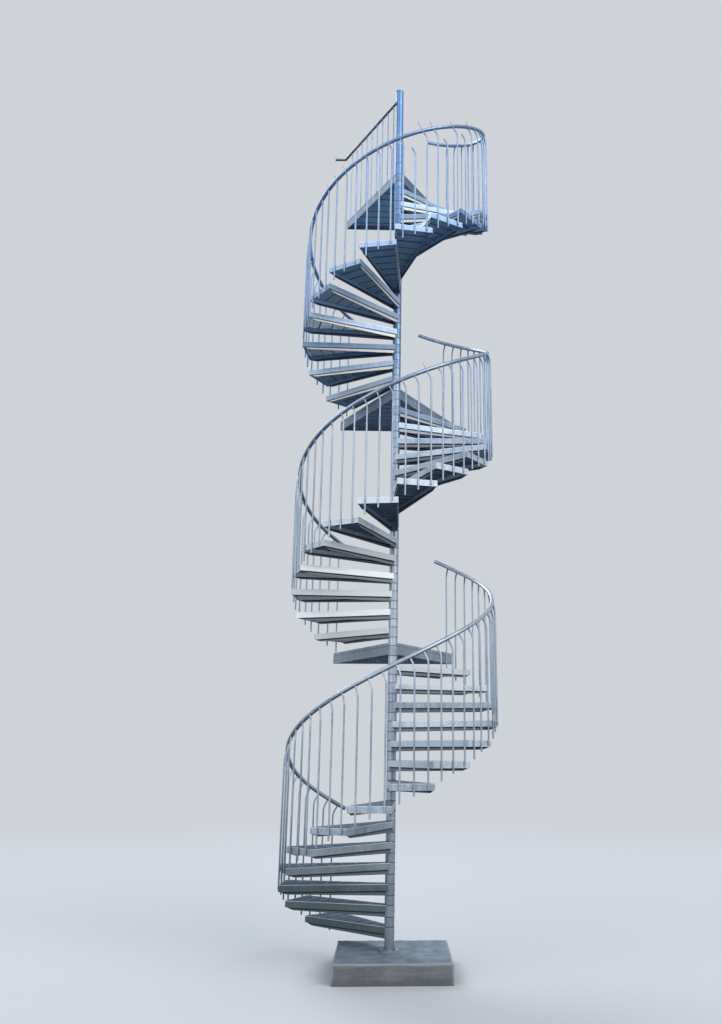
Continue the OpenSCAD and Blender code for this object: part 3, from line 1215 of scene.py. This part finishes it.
@dataclass
class Fixings:
    """Bolts of the balusters, landings and flange, and the hubs' set screws."""

    layout: Layout
    band_mid: float = -0.03
    head_sunk: float = 0.0029
    wall_z: float = -0.055
    wall_x: tuple[float, ...] = (-0.48, -0.17, 0.17, 0.48)
    screw_z: float = -0.05
    screw_turns: tuple[float, ...] = (150, 210)
    screw_sunk: float = 0.0006
    anchor_radius: float = 0.066
    anchor_turns: tuple[float, ...] = (45, 135, 225, 315)

    def on_tread(self) -> list[tuple[Bolt, list[Matrix]]]:
        """A tread's bolts, each kind with its seats on a tread along +X.

        Low heads stand outside the balusters and nuts inside the end band, and the hub has set screws.
        """
        k = self.layout
        turns = [math.radians((n - 1) * k.turn / 3 + k.lap / 2) for n in range(3)]

        def band(radius: float, way: int) -> list[Matrix]:
            """Seats along the end band, which face outwards or inwards."""
            spots = [Vector((radius, k.baluster_line * math.tan(turn), self.band_mid)) for turn in turns]
            return [aimed(spot, Vector((way, 0, 0))) for spot in spots]

        hub = [aimed(polar(k.hub - self.screw_sunk, turn, self.screw_z), polar(1, turn))
               for turn in self.screw_turns]
        outer = k.baluster_line + k.baluster_d / 2 - self.head_sunk
        return [(Bolt("baluster_head", 0.0065, 0.0024), band(outer, 1)),
                (Bolt("baluster_nut", 0.0075, 0.0055, washer=0.010, stud=0.004), band(k.chord - k.plate, -1)),
                (Bolt("set_screw", 0.007, 0.004), hub)]

    def build(self, finishes: Finishes) -> None:
        """Set every bolt: those of the treads, of the landings' wall bands, and of the base flange."""
        k = self.layout
        wall_bolt = Bolt("wall_bolt", 0.012, 0.008, washer=0.017, stud=0.012)
        wall = [aimed(Vector((x, k.reach - k.plate, self.wall_z)), Vector((0, -1, 0))) for x in self.wall_x]
        for f in range(k.flights):
            made = spend(wall_bolt.pattern(), [k.landing_place(f) @ seat for seat in wall])
            for bolt, seats in self.on_tread():
                places = [k.tread_place(f, i) @ seat for i in range(k.steps) for seat in seats]
                made += spend(bolt.pattern(), places)
            hand_over(join(f"fixings_{f + 1}", made), finishes.bolt, Slot.RAIL)
        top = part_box("base_flange")[1].z
        anchor = Bolt("anchor_bolt", 0.013, 0.010, washer=0.017, stud=0.016)
        places = [turned(a) @ Matrix.Translation((self.anchor_radius, 0, top)) for a in self.anchor_turns]
        hand_over(join("anchor_bolts", spend(anchor.pattern(), places)), finishes.bolt, Slot.COLUMN)


@dataclass
class Footing:
    """The concrete block, its edges worn and its faces rough."""

    block: Block = Block()
    cuts: int = 44
    upright_cuts: int = 7
    wear: float = 0.014
    face_wear: float = 0.16
    edge_width: float = 0.03
    flange_room: Limits = (0.1, 0.16)
    foot_room: float = 0.02

    def roughness(self, point: Vector) -> float:
        """Share of the wear at a point of the block."""
        b = self.block
        half = b.width / 2
        near = sorted((half - abs(point.x - b.centre), half - abs(point.y), b.height - point.z))[1]
        edge = max(0.0, 1 - near / self.edge_width)
        start, end = self.flange_room
        off_flange = min(1.0, max(0.0, (math.hypot(point.x, point.y) - start) / (end - start)))
        off_ground = min(1.0, point.z / self.foot_room)
        return (self.face_wear + (1 - self.face_wear) * edge) * off_flange * off_ground

    def build(self, finishes: Finishes) -> Part:
        """Model the block and rough it."""
        b = self.block
        block = cube("footing_block", (b.width, b.width, b.height), (b.centre, 0, b.height / 2))
        with editing(block):
            choose(block, lambda e: abs(e.verts[0].co.z - e.verts[1].co.z) > b.height / 2, "EDGE")
            bpy.ops.mesh.subdivide(number_cuts=self.upright_cuts)
            choose(block, lambda e: abs(e.verts[0].co.z - e.verts[1].co.z) < 0.01, "EDGE")
            bpy.ops.mesh.subdivide(number_cuts=self.cuts)
        group = block.vertex_groups.new(name="rough")
        for v in block.data.vertices:
            group.add([v.index], self.roughness(v.co), "REPLACE")
        clouds = bpy.data.textures.new("wear", "CLOUDS")
        clouds.noise_scale, clouds.noise_depth = 0.06, 3
        modify(block, "DISPLACE", texture=clouds, texture_coords="LOCAL", mid_level=1.0,
               strength=self.wear, vertex_group="rough")
        outward(block)
        smooth(block, 30)
        return hand_over(block, finishes.concrete, Slot.CONCRETE, "footing")


@dataclass
class Welds:
    """Weld bead round the newel's foot."""

    layout: Layout
    bead: float = 0.005

    def build(self, finishes: Finishes) -> Part:
        """Model the bead on the flange."""
        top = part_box("base_flange")[1].z
        bead = disc("newel_weld", 8, self.bead, (self.layout.newel, 0, top), (math.pi / 2, 0, 0),
                    filled=False)
        modify(bead, "SCREW", axis="Z", angle=math.tau, steps=40, render_steps=40,
               use_merge_vertices=True, merge_threshold=1e-5)
        outward(bead)
        smooth(bead, 60)
        return hand_over(bead, finishes.column, Slot.COLUMN)


def dress_frame(finishes: Finishes) -> None:
    """Give every CAD node that stays in view its material.

    Args:
        finishes: the finished materials.
    """
    chosen = {"tread": finishes.tread, "landing": finishes.landing, "spacers": finishes.column,
              "newel": finishes.column, "base": finishes.column, "guard_rail": finishes.guard,
              "guard_balusters": finishes.rail, "handrail": finishes.rail, "balusters": finishes.rail,
              "footing": finishes.concrete}
    for name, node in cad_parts.items():
        material = next(m for start, m in chosen.items() if name.startswith(start))
        for place in node.material_slots:
            place.material = material


def put(name: str, data: bpy.types.ID, place: Sequence[float], turn: Matrix) -> Part:
    """Put a lamp or camera into the scene."""
    holder = bpy.data.objects.new(name, data)
    bpy.context.scene.collection.objects.link(holder)
    holder.location, holder.rotation_euler = place, turn.to_euler()
    return holder


@dataclass(frozen=True)
class Lamp:
    """A far, soft lamp."""

    name: str
    place: tuple[float, float, float]
    width: float
    strength: float
    colour: Colour

    def hang(self) -> None:
        """Put the lamp into the scene."""
        lamp = bpy.data.lights.new(self.name, "SUN")
        lamp.energy, lamp.angle, lamp.color = self.strength, math.radians(self.width), self.colour
        way = (-Vector(self.place)).to_track_quat("-Z", "Y")
        put(self.name, lamp, self.place, way.to_matrix())


@dataclass(frozen=True)
class Studio:
    """Floor, soft light and the camera at the photograph's viewing angle."""

    eye: tuple[float, float, float] = (-0.012, -9.764, 1.976)
    yaw: float = 2.19
    pitch: float = 17.44
    roll: float = 0.1
    focal_px: float = 933.2
    axis_px: tuple[float, float] = (428.3, 457.7)
    backdrop: Colour = (0.62, 0.65, 0.69)
    floor_colour: Colour = (0.62, 0.63, 0.65)
    floor_bounce: Colour = (0.17, 0.18, 0.19)
    floor_fade: Limits = (6.0, 22.0)
    room_colour: Colour = (0.76, 0.86, 1.0)
    room_strength: float = 0.56
    lamps: tuple[Lamp, ...] = (
        Lamp("key", (8.0, -9.0, 8.0), 45.0, 1.5, (1.0, 0.98, 0.95)),
        Lamp("fill", (-8.0, -10.0, 5.0), 60.0, 0.9, (0.95, 0.97, 1.0)),
        Lamp("back", (-6.0, 9.0, 10.0), 30.0, 1.2, (0.90, 0.95, 1.0)))

    def floor(self) -> None:
        """Lay the plain pale floor, which throws little light up at the stair."""
        bpy.ops.object.select_all(action="DESELECT")
        bpy.ops.mesh.primitive_plane_add(size=160, location=(0, 0, 0))
        floor = settle("floor")
        w = Skin("pale_floor")
        w.dress(base_color=(*self.floor_colour, 1), roughness=0.9)
        bounce = w.node("ShaderNodeBsdfDiffuse", {"Color": (*self.floor_bounce, 1)})
        glow = w.node("ShaderNodeEmission", {"Color": (*self.backdrop, 1)})
        far = w.vector_maths("LENGTH", w.place).ramp(*self.floor_fade)
        shown = w.shaders(w.shader, glow, far)
        w.feed(w.output.inputs["Surface"], w.read(w.shaders(bounce, shown, w.seen())))
        floor.data.materials.append(w.material)

    def world(self) -> None:
        """Light the room evenly and show it pale behind the stair."""
        world = bpy.data.worlds.new("room")
        bpy.context.scene.world = world
        w = Weave(world)
        light = {"Color": (*self.room_colour, 1), "Strength": self.room_strength}
        room = w.node("ShaderNodeBackground", light)
        shown = w.node("ShaderNodeBackground", {"Color": (*self.backdrop, 1)})
        w.node("ShaderNodeOutputWorld", {"Surface": w.read(w.shaders(room, shown, w.seen()))})

    def camera(self) -> None:
        """Stand the camera where the photograph was taken."""
        cam = bpy.data.cameras.new("camera")
        long_side = max(PHOTO_SIZE)
        cam.sensor_fit, cam.sensor_width = "AUTO", 36.0
        cam.lens = self.focal_px / long_side * cam.sensor_width
        cam.shift_x = (PHOTO_SIZE[0] / 2 - self.axis_px[0]) / long_side
        cam.shift_y = (self.axis_px[1] - PHOTO_SIZE[1] / 2) / long_side
        cam.clip_end = 400
        tilt = Matrix.Rotation(math.radians(90 + self.pitch), 4, "X")
        turn = turned(-self.yaw) @ tilt @ turned(self.roll)
        bpy.context.scene.camera = put("camera", cam, self.eye, turn)

    def build(self) -> None:
        """Set up the whole studio."""
        self.floor()
        self.world()
        for lamp in self.lamps:
            lamp.hang()
        self.camera()
        bpy.context.scene.view_settings.view_transform = "Standard"


def main() -> None:
    """Build and dress the stair."""
    logging.basicConfig(level=logging.INFO, format="%(message)s")
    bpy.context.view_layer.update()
    Studio().build()
    finishes = Finishes.make()
    dress_frame(finishes)
    Footing().build(finishes)
    Welds(PLAN).build(finishes)
    for flight in range(PLAN.flights):
        Handrail(PLAN, flight).build(finishes)
        Balusters(PLAN, flight).build(finishes)
    for kind in (Studs, Gratings, KickPlates, Fixings):
        kind(PLAN).build(finishes)


if __name__ == "__main__":
    main()
